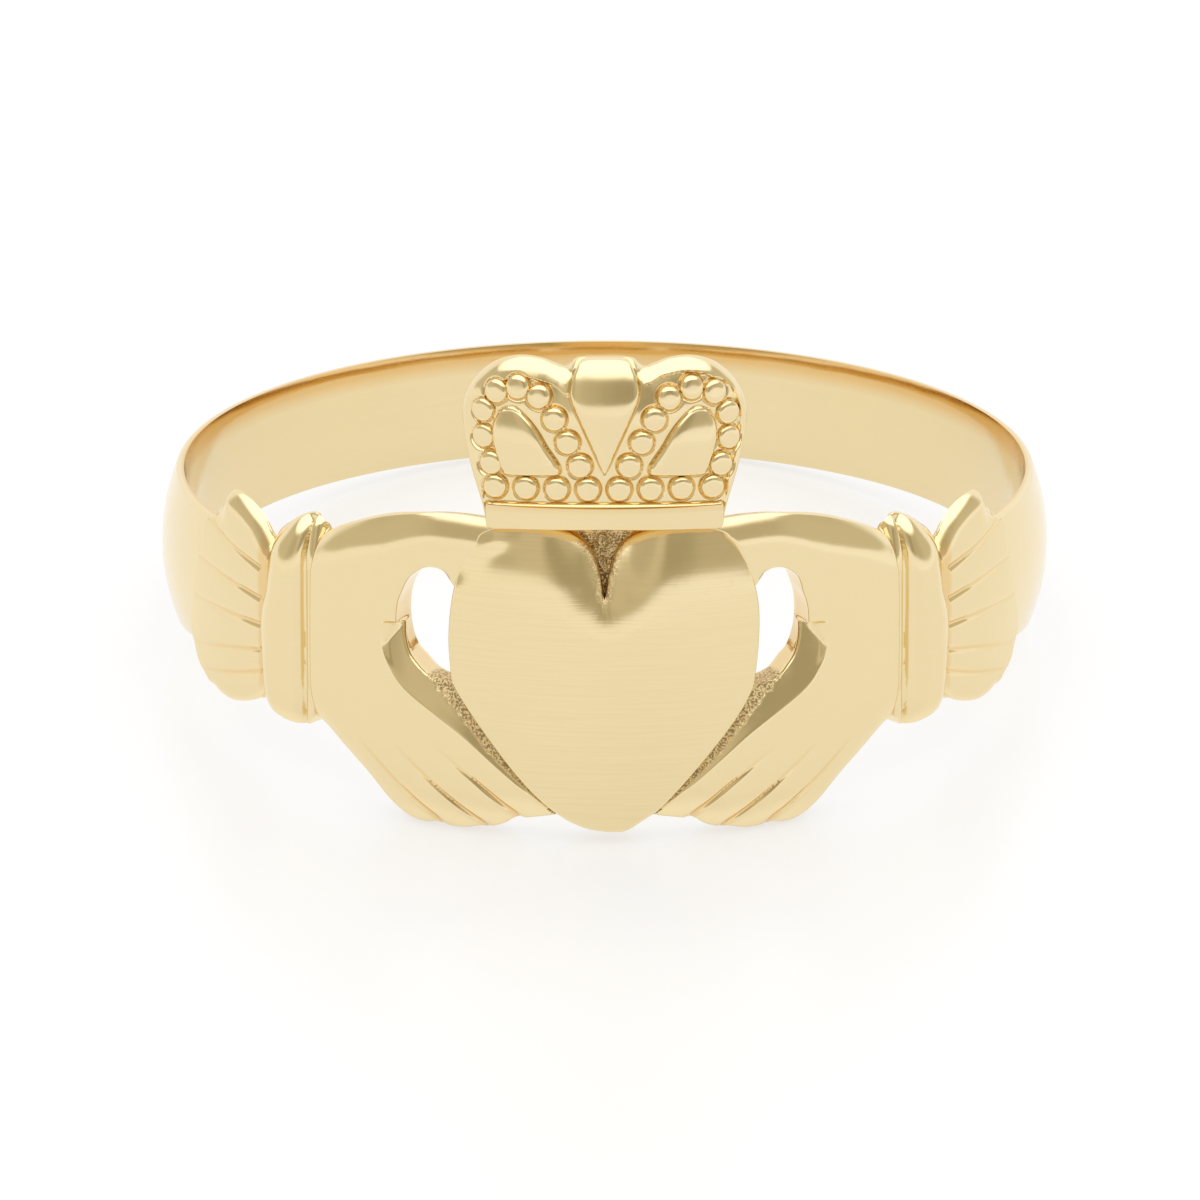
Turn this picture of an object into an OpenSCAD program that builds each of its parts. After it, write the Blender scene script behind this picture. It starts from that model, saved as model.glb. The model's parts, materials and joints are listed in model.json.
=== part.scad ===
// Claddagh ring: two hands hold a crowned heart, cast in one piece with its band.
// Sizes are in millimetres. The ring lies on its side, on its finger tips and the back of its band,
// centred over the origin.
// Before it is laid down, its axis is Z, its middle plane is Z = 0, and the heart faces -Y.

/* [Finger] */
// Diameter of the finger hole
bore_d = 18.9; // [16:0.1:21]

/* [Band] */
// Thickness at the middle of the band
band_t = 0.55; // [0.5:0.05:0.75]
// Thickness that its rounding takes off at each edge of the band's sides
band_round = 0.35; // [0.2:0.05:0.4]
// Width of the band at its sides
band_side_w = 3.4; // [3:0.1:3.7]
// Width of the band at its back
band_back_w = 2.66; // [2.3:0.02:3]

/* [Heart] */
// Width of the heart
heart_w = 6.7; // [6.2:0.1:7.2]
// Height of the heart, lobes to tip
heart_h = 7; // [6.6:0.1:7.4]
// Height of the lobes above the middle plane
heart_up = 3.05; // [2.9:0.05:3.2]
// Thickness at the middle of the heart
heart_t = 1.15; // [1.05:0.05:1.35]
// Thickness that the heart's doming takes off at its lobes and tip
heart_round = 0.3; // [0.2:0.05:0.45]
// How far the floor of the cleft lies below the middle of the heart
cleft_depth = 0.75; // [0.5:0.05:0.8]

/* [Hands] */
// Length along the ring from the middle of the heart to the cuff
hand_reach = 6.85; // [6.6:0.05:7.2]
// Height of a hand, thumb side to finger tips
hand_h = 7.15; // [6.8:0.05:7.5]
// Height of the thumb side above the middle plane
hand_up = 3.12; // [3:0.02:3.3]
// Thickness at the back of a hand
hand_t = 1; // [0.9:0.05:1.15]
// Thickness that the hand's rounding takes off at its upper and lower edges
hand_round = 0.45; // [0.3:0.05:0.6]
// Width of one finger
finger_w = 0.74; // [0.65:0.01:0.8]
// Angle of the fingers from the middle plane
finger_slant = 41; // [36:1:46]
// Radius of the groove between two fingers at their tips
finger_groove_r = 0.16; // [0.1:0.01:0.2]
// Slope of the palm down to the gap and the heart
palm_slope = 38; // [30:1:45]

/* [Gaps between hands and heart] */
// Width of a gap
gap_w = 1.4; // [1.2:0.05:1.6]
// Height of a gap
gap_h = 2.65; // [2.3:0.05:2.9]
// Height of a gap's top above the middle plane
gap_up = 1.86; // [1.7:0.02:2]

/* [Cuffs] */
// Width of the rolled edge of a cuff
roll_w = 1.5; // [1.4:0.05:1.7]
// Height of the rolled edge
roll_h = 4.7; // [4.3:0.1:5]
// Thickness of the ring at the top of the roll
roll_t = 1.07; // [1:0.01:1.25]
// Thickness that the roll's rounding takes off at its two ends
roll_round = 0.5; // [0.3:0.05:0.6]
// Length of the pleated flare along the ring
flare_len = 2.8; // [2.4:0.05:3.1]
// Height of the flare where its pleats end
flare_h = 4.7; // [4.4:0.1:5]
// Thickness of the ring at the flare
flare_t = 0.73; // [0.69:0.02:0.85]
// Thickness that the flare's rounding takes off at its upper and lower edges
flare_round = 0.06; // [0.03:0.01:0.1]
// Radius of a pleat's groove
pleat_groove_r = 0.09; // [0.06:0.01:0.12]

/* [Crown] */
// Width of the crown over its side lobes
crown_w = 6.36; // [6:0.02:6.7]
// Height of the crown
crown_h = 3.88; // [3.7:0.02:4.1]
// Height of the crown's foot above the middle plane
crown_foot = 2.9; // [2.8:0.02:3]
// Thickness of the crown's plate
crown_t = 0.49; // [0.43:0.02:0.6]
// How far the back of the crown stands outside the finger hole
crown_ease = 0.18; // [0.16:0.01:0.24]
// Height of the bar at the crown's foot
bar_h = 0.47; // [0.4:0.01:0.55]
// Width of the bar
bar_w = 5.24; // [5:0.02:5.4]
// How far the bar stands out of the plate
bar_t = 0.45; // [0.35:0.05:0.6]
// Number of beads along the foot of the crown
foot_beads = 8; // [6:1:9]
// Diameter of a bead
bead_d = 0.53; // [0.45:0.01:0.54]
// Space between the foot beads and the bar
bead_gap = 0.03; // [0.01:0.01:0.06]
// How far the middles of the beads stand out of the plate
bead_out = 0.12; // [0.05:0.01:0.18]
// How far the plain fan and petals stand out of the plate
petal_t = 0.36; // [0.2:0.02:0.45]
// How much the rounded faces of the bar, fan and petals fall off towards the crown's foot and top
face_fall = 0.4; // [0.2:0.05:0.5]

/* [Hidden] */

gold = "#e9d29b";
bore_r = bore_d / 2;
band_r = bore_r + band_t;
plate_r = bore_r + crown_ease + crown_t;
deep = bore_r * 0.7;  // every block starts this far from the axis, well inside the finger hole
far = bore_r * 1.5;   // and ends outside the metal, where a rounded skin trims it
curve_steps = 4;
$fn = 128;

// Edges of the band from its front ends to where it runs straight to its back.
// back: how far behind the ring's axis, as a share of the band's radius.
// up, low: height above and depth below the middle plane, as a share of the band's width there.
band_front = [
    // back, up, low
    [-1.50, 0.39, 0.44],
    [-0.42, 0.39, 0.46],
    [-0.30, 0.39, 0.54],
    [0.00, 0.39, 0.61],
    [0.30, 0.39, 0.50],
    [0.55, 0.39, 0.41],
];
band_back = [1.00, 0.50, 0.50];

// Half of the heart's outline from tip to cleft.
// across: share of half the width. up: share of the height.
heart_half = [
    // across, up
    [0.00, 0.000],
    [0.15, 0.010],
    [0.28, 0.055],
    [0.37, 0.080],
    [0.59, 0.205],
    [0.79, 0.330],
    [0.96, 0.460],
    [1.00, 0.650],
    [0.97, 0.795],
    [0.87, 0.920],
    [0.68, 0.985],
    [0.45, 1.000],
    [0.26, 0.980],
    [0.12, 0.930],
    [0.06, 0.875],
    [0.00, 0.780],
];

// Outline of a hand, anticlockwise from the first finger tip beside the heart.
// out: share of the reach from the middle of the heart. up: share of the height.
hand_outline = [
    // out, up
    [0.170, 0.062],
    [0.255, 0.055],
    [0.315, 0.028],
    [0.385, 0.010],
    [0.460, 0.006],
    [0.530, 0.000],
    [0.595, 0.006],
    [0.650, 0.018],
    [0.710, 0.060],
    [0.795, 0.138],
    [0.885, 0.207],
    [1.010, 0.290],
    [1.010, 0.840],
    [0.905, 0.902],
    [0.800, 0.944],
    [0.690, 0.976],
    [0.575, 0.997],
    [0.470, 1.000],
    [0.300, 0.990],
    [0.200, 0.950],
    [0.280, 0.500],
    [0.100, 0.100],
];

// Grooves between the fingers, from the first finger down.
// out: share of the reach where the groove meets the finger tips. up: share of the hand's height there.
// length: in finger widths.
finger_grooves = [
    // out, up, length
    [0.280, 0.050, 3.5],
    [0.390, 0.012, 3.8],
    [0.548, 0.012, 3.0],
];

// Outline of a gap. Its inner side runs on under the heart, whose own edge closes it.
// out: share of the gap's width from the heart's edge. up: share of its height.
gap_outline = [
    // out, up
    [-0.25, 0.02],
    [0.12, 0.00],
    [0.37, 0.04],
    [0.66, 0.17],
    [0.88, 0.34],
    [1.00, 0.54],
    [0.95, 0.74],
    [0.76, 0.89],
    [0.48, 0.97],
    [0.18, 0.99],
    [-0.25, 0.93],
];

// Outline of a roll. Its inner side runs on into the hand.
// out: share of the roll's width from the hand. up: share of its height.
roll_outline = [
    // out, up
    [-0.25, 0.06],
    [0.12, 0.00],
    [0.50, 0.02],
    [0.80, 0.07],
    [0.97, 0.18],
    [1.02, 0.45],
    [1.00, 0.74],
    [0.93, 0.84],
    [0.60, 0.93],
    [0.22, 1.00],
    [0.00, 0.98],
    [-0.25, 0.88],
];

// Pleats of a flare, from top to bottom: each row is a groove between two pleats.
// root, tip: height of the groove at the roll and at the pleat ends, as a share of the flare's height.
pleats = [
    // root, tip
    [0.675, 0.770],
    [0.540, 0.605],
    [0.420, 0.415],
    [0.280, 0.205],
    [0.180, 0.085],
];
// Ends of the flare's upper and lower edges at the roll and at its widest, in the same shares
flare_top = [0.87, 1];
flare_low = [0.05, 0];
flare_drop = 0.5; // share of the flare's height that lies below the middle plane
roll_drop = 0.47; // the same share of the roll

// Half of the crown's outline from its foot to the middle of its top.
// across: share of half the width. up: share of the height.
crown_half = [
    // across, up
    [0.800, -0.060],
    [0.815, 0.120],
    [0.862, 0.245],
    [0.915, 0.375],
    [0.962, 0.490],
    [1.000, 0.585],
    [1.000, 0.670],
    [0.965, 0.773],
    [0.893, 0.863],
    [0.774, 0.954],
    [0.604, 0.995],
    [0.420, 0.982],
    [0.286, 0.941],
    [0.226, 0.964],
    [0.157, 0.997],
];

// Places of the beads of one arch, from the foot beads up the slant, over the lobe and down the side.
// across: share of the crown's half width. up: share of its height.
arch_beads = [
    // across, up
    [0.168, 0.399],
    [0.254, 0.539],
    [0.343, 0.670],
    [0.453, 0.794],
    [0.604, 0.840],
    [0.774, 0.804],
    [0.871, 0.680],
    [0.871, 0.533],
    [0.802, 0.389],
];

// Outline of one petal. across: share of the crown's half width. up: share of its height.
petal_outline = [
    // across, up
    [0.310, 0.345],
    [0.470, 0.338],
    [0.655, 0.338],
    [0.720, 0.400],
    [0.765, 0.525],
    [0.765, 0.640],
    [0.715, 0.725],
    [0.650, 0.735],
    [0.585, 0.705],
    [0.510, 0.640],
    [0.435, 0.550],
    [0.355, 0.445],
];

// Half of the fan's outline from its point to its top, in the same shares as the petal
fan_half = [
    // across, up
    [0.000, 0.365],
    [0.075, 0.505],
    [0.155, 0.645],
    [0.230, 0.795],
    [0.225, 0.895],
    [0.160, 0.965],
];

band_middle = (band_front[3][1] - band_front[3][2]) * band_side_w / 2;
band_bulge_r = (band_side_w * band_side_w / 4 + band_round * band_round) / (2 * band_round);
foot_beads_w = bar_w * 0.91;  // span of the middles of the foot beads
foot_beads_up = bar_h + bead_d + bead_gap;

function degrees_of(arc, r) = arc / r * 180 / PI;

// A closed smooth curve through the points of a table
function smooth(points) =
    let (n = len(points))
    [for (i = [0 : n - 1])
        let (a = points[(i + n - 1) % n], b = points[i], c = points[(i + 1) % n], d = points[(i + 2) % n])
        for (k = [0 : curve_steps - 1])
            let (t = k / curve_steps)
            (2 * b + (c - a) * t + (2 * a - 5 * b + 4 * c - d) * t * t + (3 * b - a - 3 * c + d) * t * t * t) / 2
    ];

// A half outline and its mirror image, as one closed list. Points on the middle line are kept once.
function both_halves(half) =
    concat(half, [for (i = [len(half) - 1 : -1 : 0]) if (half[i].x > 0) [-half[i].x, half[i].y]]);

// Where a place on the ring is in space: arc along the ring, height, distance from the axis
function in_space(place) =
    let (a = degrees_of(place[0], band_r))
    [place[2] * sin(a), -place[2] * cos(a), place[1]];

// Radius of the hand's skin at a height
function hand_skin(up) =
    bore_r + hand_t - hand_round * pow((up - hand_up + hand_h / 2) / (hand_h / 2), 2);

function scaled(table, size) = [for (row = table) [row.x * size.x, row.y * size.y]];

// Places its children on the outside of the ring, an arc length away from the middle of the heart.
// Their X runs along the ring, their Y up its axis and their Z outwards.
module at_reach(arc) rotate([0, 0, degrees_of(arc, band_r)]) rotate([90, 0, 0]) children();

module both_sides() {
    children();
    mirror([1, 0, 0]) children();
}

// A block through the wall of the ring with the outline of its 2D child
module through() translate([0, 0, deep]) linear_extrude(far - deep) children();

// The body inside a skin of radius r that bulges: it loses edge_loss of its radius at half_h above and below middle
module skin(r, half_h, edge_loss, middle = 0) {
    bulge_r = (half_h * half_h + edge_loss * edge_loss) / (2 * edge_loss);
    rotate_extrude() intersection() {
        translate([r - bulge_r, middle]) circle(bulge_r);
        translate([deep / 2, -far]) square([far, 2 * far]);
    }
}

module band() {
    gap = degrees_of(hand_reach + roll_w / 2, band_r);
    intersection() {
        rotate([0, 0, gap - 90]) rotate_extrude(angle = 360 - 2 * gap) intersection() {
            translate([band_r - band_bulge_r, band_middle]) circle(band_bulge_r);
            translate([deep, -band_side_w]) square([far, 2 * band_side_w]);
        }
        rotate([90, 0, 90]) linear_extrude(2 * far, center = true) polygon(concat(
            [for (row = band_front) [row[0] * band_r, -row[2] * band_side_w]],
            [[band_back[0] * band_r, -band_back[2] * band_back_w]],
            [[band_back[0] * band_r, band_back[1] * band_back_w]],
            [for (i = [len(band_front) - 1 : -1 : 0]) [band_front[i][0] * band_r, band_front[i][1] * band_side_w]]
        ));
    }
}

module heart() intersection() {
    at_reach(0) through() translate([0, heart_up - heart_h])
        polygon(smooth(both_halves(scaled(heart_half, [heart_w / 2, heart_h]))));
    skin(bore_r + heart_t, heart_h / 2, heart_round, heart_up - heart_h / 2);
}

// The floor of the cleft, between the lobes and behind the foot of the crown
module cleft_floor() intersection() {
    at_reach(0) through() translate([-heart_w / 4, heart_up - heart_h / 3]) square([heart_w / 2, heart_h / 3]);
    cylinder(r = bore_r + heart_t - cleft_depth, h = 2 * far, center = true);
}

// A groove with a round bottom, from one place on the skin to another. A place is [arc, up, radius].
module groove(from, to, r_from, r_to) {
    a = in_space(from);
    line = in_space(to) - a;
    translate(a) rotate([0, acos(line.z / norm(line)), atan2(line.y, line.x)])
        cylinder(r1 = r_from, r2 = r_to, h = norm(line), $fn = 24);
}

module finger_groove(row) {
    length = row[2] * finger_w;
    run = [length * cos(finger_slant), length * sin(finger_slant)];
    tip = [row.x * hand_reach, hand_up - hand_h + row.y * hand_h] - run * 0.15;
    top = tip + run * 1.15;
    groove([tip.x, tip.y, hand_skin(tip.y) + finger_groove_r / 8],
        [top.x, top.y, hand_skin(top.y) + finger_groove_r / 4], finger_groove_r, finger_groove_r / 4);
}

// The palm falls from the first finger to the gap and to the heart: a cone round the gap, drawn out to the finger tip
module palm() {
    palm_r = gap_w * 0.99;
    tip_r = palm_r * 0.35;
    module fall(out, up, r) at_reach(out) translate([0, up, hand_skin(up)])
        translate([0, 0, -r * tan(palm_slope)]) cylinder(r1 = 0, r2 = 2 * r, h = 2 * r * tan(palm_slope), $fn = 32);
    hull() {
        fall(heart_w / 2 + gap_w * 0.2, gap_up - gap_h * 0.58, palm_r);
        fall(heart_w * 0.15, hand_up - hand_h * 0.87, tip_r);
    }
}

module hand() difference() {
    intersection() {
        middle = hand_reach / 2;
        at_reach(middle) through() translate([-middle, hand_up - hand_h])
            polygon(smooth(scaled(hand_outline, [hand_reach, hand_h])));
        skin(bore_r + hand_t, hand_h / 2, hand_round, hand_up - hand_h / 2);
    }
    for (row = finger_grooves) finger_groove(row);
    palm();
    gap();
}

module gap() {
    edge = heart_w / 2;
    at_reach(edge + gap_w / 2) through() translate([-gap_w / 2, gap_up - gap_h])
        polygon(smooth(scaled(gap_outline, [gap_w, gap_h])));
}

module cuff_roll() {
    intersection() {
        at_reach(hand_reach + roll_w / 2) translate([0, -roll_h * roll_drop, bore_r + roll_t - roll_w / 2])
            rotate([-90, 0, 0]) cylinder(d = roll_w, h = roll_h);
        at_reach(hand_reach + roll_w / 2) through() translate([-roll_w / 2, -roll_h * roll_drop])
            polygon(smooth(scaled(roll_outline, [roll_w, roll_h])));
        skin(bore_r + roll_t + roll_round / 20, roll_h / 2, roll_round, roll_h * (0.5 - roll_drop));
    }
}

// The flare's outline: straight edges that widen from the roll, and one round lobe for each pleat end
module flare_outline() {
    tips = concat([flare_top[1]], [for (row = pleats) row[1]], [flare_low[1]]);
    lobe = 0.09 * flare_len;
    ends = [for (i = [0 : len(tips) - 2])
        for (a = [15 : 30 : 165])
            let (middle = (tips[i] + tips[i + 1]) / 2, half = (tips[i] - tips[i + 1]) / 2)
            let (up = middle + half * cos(a))
            [flare_len * (1 - 0.3 * pow(abs(2 * up - 1), 3)) - lobe * (1 - sin(a)), up * flare_h]
    ];
    polygon(concat([[-roll_w / 4, flare_low[0] * flare_h], [-roll_w / 4, flare_top[0] * flare_h]], ends));
}

module flare() {
    start = hand_reach + roll_w;
    difference() {
        intersection() {
            at_reach(start + flare_len / 2) through()
                translate([-flare_len / 2, -flare_h * flare_drop]) flare_outline();
            skin(bore_r + flare_t, flare_h / 2, flare_round);
        }
        for (row = pleats) groove(
            [start, (row[0] - flare_drop) * flare_h, bore_r + flare_t],
            [start + flare_len, (row[1] - flare_drop) * flare_h, bore_r + flare_t],
            pleat_groove_r * 1.5, pleat_groove_r);
    }
}

// A flat ornament of the crown with a rounded face that stands out of the plate
module on_crown(out) intersection() {
    at_reach(0) through() translate([0, crown_foot]) children();
    skin(plate_r + out, crown_h, face_fall, crown_foot + crown_h / 2);
}

module bead(across, up) at_reach(0)
    translate([across, crown_foot + up, sqrt(pow(plate_r + bead_out, 2) - across * across)])
    sphere(d = bead_d, $fn = 24);

module crown() {
    half = [crown_w / 2, crown_h];
    intersection() {
        at_reach(0) through() translate([0, crown_foot]) polygon(smooth(both_halves(scaled(crown_half, half))));
        cylinder(r = plate_r, h = 4 * far, center = true);
    }
    on_crown(bar_t) translate([-bar_w / 2, 0]) square([bar_w, bar_h]);
    on_crown(petal_t) polygon(smooth(both_halves(scaled(fan_half, half))));
    both_sides() on_crown(petal_t * 0.95) polygon(smooth(scaled(petal_outline, half)));
    for (i = [0 : foot_beads - 1]) bead(foot_beads_w * (i / (foot_beads - 1) - 0.5), foot_beads_up);
    both_sides() for (row = arch_beads) bead(row.x * half.x, row.y * half.y);
}

module finger_hole() {
    cylinder(r = bore_r, h = 4 * far, center = true);
    translate([0, 0, heart_up]) cylinder(r = bore_r + crown_ease, h = far);
}

// How the ring lies: its finger tips and the lower back edge of the band touch the ground
tip_low = hand_h - hand_up;
tip_front = bore_r * cos(degrees_of(0.53 * hand_reach, band_r));
back_low = band_back[2] * band_back_w;
back_end = band_r - band_round * pow(2 * (back_low + band_middle) / band_side_w, 2);
lie_angle = atan2(tip_low - back_low, tip_front + back_end);
lie_up = back_low * cos(lie_angle) + back_end * sin(lie_angle);
lie_back = (heart_t - band_t) / 2;

module ring() color(gold) translate([0, lie_back, lie_up]) rotate([-lie_angle, 0, 0]) difference() {
    union() {
        band();
        heart();
        cleft_floor();
        both_sides() {
            hand();
            cuff_roll();
            flare();
        }
        crown();
    }
    finger_hole();
}

ring();
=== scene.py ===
import json
import math
import bpy
import numpy as np
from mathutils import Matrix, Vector


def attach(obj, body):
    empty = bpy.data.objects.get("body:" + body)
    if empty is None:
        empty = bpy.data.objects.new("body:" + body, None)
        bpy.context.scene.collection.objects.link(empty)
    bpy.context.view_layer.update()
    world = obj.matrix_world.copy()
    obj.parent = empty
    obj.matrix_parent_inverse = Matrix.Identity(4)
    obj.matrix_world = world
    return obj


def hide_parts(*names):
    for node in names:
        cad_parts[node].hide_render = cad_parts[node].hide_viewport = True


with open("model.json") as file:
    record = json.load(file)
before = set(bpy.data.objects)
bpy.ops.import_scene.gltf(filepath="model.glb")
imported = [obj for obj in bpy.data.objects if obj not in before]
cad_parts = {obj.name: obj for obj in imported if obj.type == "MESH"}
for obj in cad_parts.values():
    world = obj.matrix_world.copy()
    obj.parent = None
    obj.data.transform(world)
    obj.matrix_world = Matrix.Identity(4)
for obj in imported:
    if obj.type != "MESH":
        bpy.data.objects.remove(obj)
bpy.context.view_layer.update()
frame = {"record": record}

# Every place on the ring is a turn in degrees from the middle of the heart (right is positive), a height
# along the axis of the finger hole and a radius from that axis, both in millimetres.
fingerHole = next(m for m in frame["record"]["mounts"] if m["name"] == "finger_hole")
holePlace = np.array(fingerHole["pos_m"])
holeAxis = np.array(fingerHole["axis"])
sideways = np.array([1.0, 0, 0])
backwards = np.cross(holeAxis, sideways)
boreRadius = fingerHole["dims"]["r_mm"]
flatRadius = 10.0  # lengths along the ring are measured at this radius
millimetre = 0.001
sharpAngle = math.radians(48)  # edges that turn by more than this stay sharp


# the length of a turn in millimetres
def flat(turn):
    return np.radians(turn) * flatRadius


# a place on the ring in metres: a point on a circle round the leaning axis, then up along the axis
def onRing(turn, up, radius):
    angle = np.radians(turn)[..., None]
    spoke = np.sin(angle) * sideways - np.cos(angle) * backwards
    return holePlace + (radius[..., None] * spoke + up[..., None] * holeAxis) * millimetre


# 0 at low, 1 at high, and between them three times the share's square less twice its cube
def easeBetween(low, high, value):
    share = np.clip((value - low) / (high - low), 0, 1)
    return share * share * (3 - 2 * share)


# how far a face falls near an edge: a circle of radius bend that starts to fall at the given distance
def rollOff(distance, width, bend):
    reach = np.clip(width - distance, 0, bend)
    return bend - np.sqrt(bend * bend - reach * reach)


# a bell: 1 in the middle of a groove or swell, fading with the square of the distance
def bell(away, width):
    return np.exp(-(away / width) ** 2)


# a Catmull-Rom curve through a short table of places, cut into evenly long steps
def smoothLine(table, count, closed=True, fineSteps=24):
    p = np.array(table, float)
    if closed:
        a, b, c, d = np.roll(p, 1, 0), p, np.roll(p, -1, 0), np.roll(p, -2, 0)
    else:
        q = np.vstack([2 * p[0] - p[1], p, 2 * p[-1] - p[-2]])
        a, b, c, d = q[:-3], q[1:-2], q[2:-1], q[3:]
    t = np.linspace(0, 1, fineSteps, endpoint=False)[:, None, None]
    line = (2 * b + (c - a) * t + (2 * a - 5 * b + 4 * c - d) * t**2 + (3 * b - a - 3 * c + d) * t**3) / 2
    line = line.transpose(1, 0, 2).reshape(-1, 2)
    line = np.vstack([line, line[:1] if closed else p[-1:]])
    steps = np.hypot(np.diff(flat(line[:, 0])), np.diff(line[:, 1]))
    along = np.concatenate([[0], np.cumsum(steps)])
    even = np.linspace(0, along[-1], count, endpoint=not closed)
    return np.column_stack([np.interp(even, along, line[:, k]) for k in (0, 1)])


# the points on the right, mirrored to the left and in reverse order
def mirrored(table):
    return [(-turn, up) for turn, up in reversed(table) if turn > 0]


# the distance to the nearest point of a line, positive to its left, and the share of the line's length
# at which that point lies
def nearLine(turn, up, line, blockSize=20000):
    p = np.stack([flat(turn).ravel(), up.ravel()], -1)
    q = np.column_stack([flat(line[:, 0]), line[:, 1]])
    start, run = q[:-1], np.diff(q, axis=0)
    length = np.hypot(run[:, 0], run[:, 1])
    base = np.concatenate([[0], np.cumsum(length)])
    away, along = [], []
    for block in np.array_split(p, len(p) // blockSize + 1):
        gap = block[:, None] - start
        share = np.clip((gap * run).sum(-1) / length**2, 0, 1)
        off = gap - share[..., None] * run
        size = np.hypot(off[..., 0], off[..., 1])
        near = size.argmin(1)
        row = np.arange(len(block))
        side = run[near, 0] * gap[row, near, 1] - run[near, 1] * gap[row, near, 0]
        away.append(size[row, near] * np.where(side < 0, -1, 1))
        along.append((base[near] + share[row, near] * length[near]) / base[-1])
    return np.concatenate(away).reshape(turn.shape), np.concatenate(along).reshape(turn.shape)


# smooth random numbers from -1 to 1: random values on a square lattice, blended between its corners
def castGrain(turn, up, size, seed, side=128):
    lattice = np.random.default_rng(seed).uniform(-1, 1, (side, side))
    u, v = flat(turn) / size + side // 2, up / size + side // 2
    i, j = np.floor(u).astype(int), np.floor(v).astype(int)
    a, b = easeBetween(0, 1, u - i), easeBetween(0, 1, v - j)
    i0, i1, j0, j1 = i % side, (i + 1) % side, j % side, (j + 1) % side
    low = lattice[i0, j0] * (1 - a) + lattice[i1, j0] * a
    high = lattice[i0, j1] * (1 - a) + lattice[i1, j1] * a
    return low * (1 - b) + high * b


# a mesh of four-sided faces and some others. Points that no face uses are left out, and marks become
# attributes that the gold reads.
def makeMesh(name, points, quads, others, marks, step=1):
    others = [np.array(face) for face in others]
    used = np.unique(np.concatenate([quads.ravel(), *others]))
    place = np.zeros(len(points), int)
    place[used] = np.arange(len(used))
    faces = place[quads[:, ::step]].tolist() + [place[face[::step]].tolist() for face in others]
    mesh = bpy.data.meshes.new(name)
    mesh.from_pydata(points[used].tolist(), [], faces)
    for mark, values in marks.items():
        layer = mesh.attributes.new(mark, "FLOAT", "POINT")
        layer.data.foreach_set("value", values.ravel()[used].astype(np.float32))
    mesh.shade_smooth()
    return mesh


def dress(name, mesh, material):
    mesh.materials.append(material)
    piece = bpy.data.objects.new(name, mesh)
    bpy.context.scene.collection.objects.link(piece)
    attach(piece, "root")
    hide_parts("ring")


# joins neighbouring rows and columns of a grid of places by four-sided faces. A pole row becomes one point,
# and the open ends of a tube are closed by one face each. If the volume comes out negative, the faces are
# turned round.
def makePiece(name, places, marks, material, poles=False):
    rows, cols = places.shape[:2]
    index = np.arange(rows * cols).reshape(rows, cols)
    if poles:
        index[0], index[-1] = index[0, 0], index[-1, 0]
        near, far = index, np.roll(index, -1, 1)
        a, b, c, d = near[:-1], far[:-1], far[1:], near[1:]
        quads = np.stack([a, b, c, d], -1)[1:-1].reshape(-1, 4)
        fans = [np.stack([a, c, d], -1)[0], np.stack([a, b, c], -1)[-1]]
        others = np.concatenate(fans).tolist()
    else:
        below = np.roll(index, -1, 0)
        quads = np.stack([index[:, :-1], index[:, 1:], below[:, 1:], below[:, :-1]], -1).reshape(-1, 4)
        others = [index[:, 0].tolist(), index[::-1, -1].tolist()]
    points = places.reshape(-1, 3)
    middle = points.mean(0)
    a, b, c, d = [points[quads[:, k]] - middle for k in range(4)]
    volume = (np.einsum("ij,ij->i", a, np.cross(b, c)) + np.einsum("ij,ij->i", a, np.cross(c, d))).sum()
    marks = {mark: np.broadcast_to(values, (rows, cols)) for mark, values in marks.items()}
    mesh = makeMesh(name, points, quads, others, marks, 1 if volume > 0 else -1)
    mesh.set_sharp_from_angle(angle=sharpAngle)
    dress(name, mesh, material)


# what a plate has unless its own dictionary says otherwise
plateLook = {
    "crowd": 1.8,             # above 1, rows draw together towards the edge
    "wallRows": 6, "rearRows": 12,
    "back": boreRadius,       # the radius of its rear
    "draft": 0,               # how much lower the rear of the upper wall lies than its front
    "facesUp": (0.1, 0.75),   # where an outline counts as an upper edge
    "leastDepth": 0.05,
}


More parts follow.
